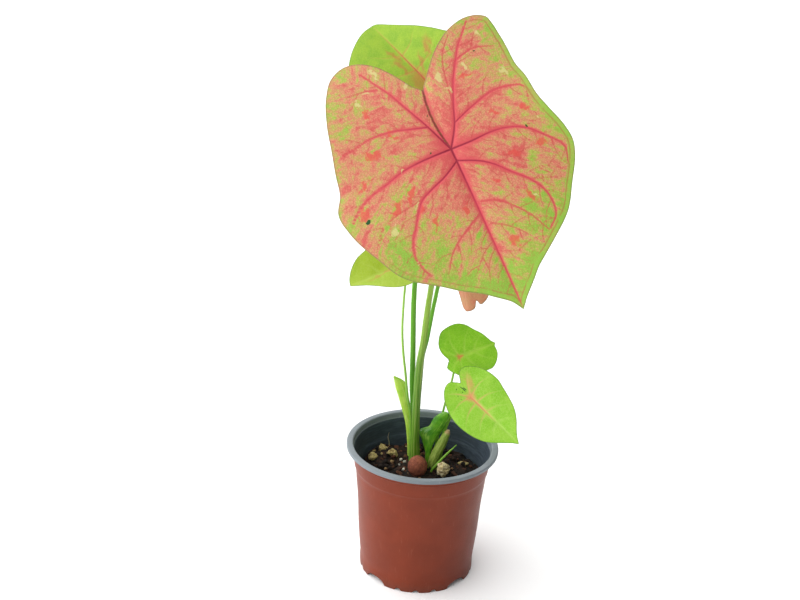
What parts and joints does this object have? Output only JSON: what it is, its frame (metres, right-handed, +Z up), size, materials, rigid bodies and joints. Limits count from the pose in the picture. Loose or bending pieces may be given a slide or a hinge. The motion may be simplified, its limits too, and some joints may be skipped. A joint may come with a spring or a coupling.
{
  "type": "potted caladium",
  "caption": "Potted caladium: a large pink and green heart-shaped leaf over small green leaves and shoots, in soil with gravel in a round two-tone plastic nursery pot",
  "frame": {"origin": "centre of the flat pad under the pot's floor, which stands on the ground", "axes": "+Z up along the pot's axis, -Y towards the side that the leaves face, +X to the right seen from there"},
  "size_m": [0.1518, 0.1152, 0.3825],
  "materials": {
    "pot_plastic": "satin moulded plastic, terracotta outside, slate grey flange and dark grey inside",
    "potting_soil": "damp crumbly peat and bark mix",
    "tuber_skin": "rough brown bark-like skin",
    "pink_leaf": "soft satin leaf, pink and salmon over green with crimson veins",
    "green_leaf": "soft satin yellow-green leaf with pink veins",
    "green_stalk": "smooth fleshy stalk, satin",
    "pale_shoot": "thin pale green sheath",
    "stub_skin": "olive green speckled stalk with a dry tan tip",
    "fired_clay": "matt red-brown fired clay",
    "cream_stone": "matt cream broken stone",
    "ochre_gravel": "matt ochre broken stone",
    "perlite": "matt white porous grain"
  },
  "bodies": {
    "root": {"pot": "pot_plastic", "soil": "potting_soil", "tuber": "tuber_skin", "blade_front": "pink_leaf", "blade_back": "green_leaf", "blade_left": "green_leaf", "blade_right": "pink_leaf", "blade_small_upper": "green_leaf", "blade_small_lower": "green_leaf", "petiole_front": "green_stalk", "petiole_back": "green_stalk", "petiole_left": "green_stalk", "petiole_right": "green_stalk", "petiole_small_upper": "green_stalk", "petiole_small_lower": "green_stalk", "cataphyll": "pale_shoot", "curled_leaf": "green_leaf", "stub": "stub_skin", "offshoot": "green_stalk", "clay_ball": "fired_clay", "cream_stone": "cream_stone", "gravel_1": "ochre_gravel", "gravel_2": "ochre_gravel", "gravel_3": "ochre_gravel", "gravel_4": "ochre_gravel", "gravel_5": "ochre_gravel", "gravel_6": "ochre_gravel", "gravel_7": "ochre_gravel", "gravel_8": "ochre_gravel", "gravel_9": "ochre_gravel", "gravel_10": "ochre_gravel", "perlite_1": "perlite", "perlite_2": "perlite", "perlite_3": "perlite", "perlite_4": "perlite"}
  },
  "joints": []
}
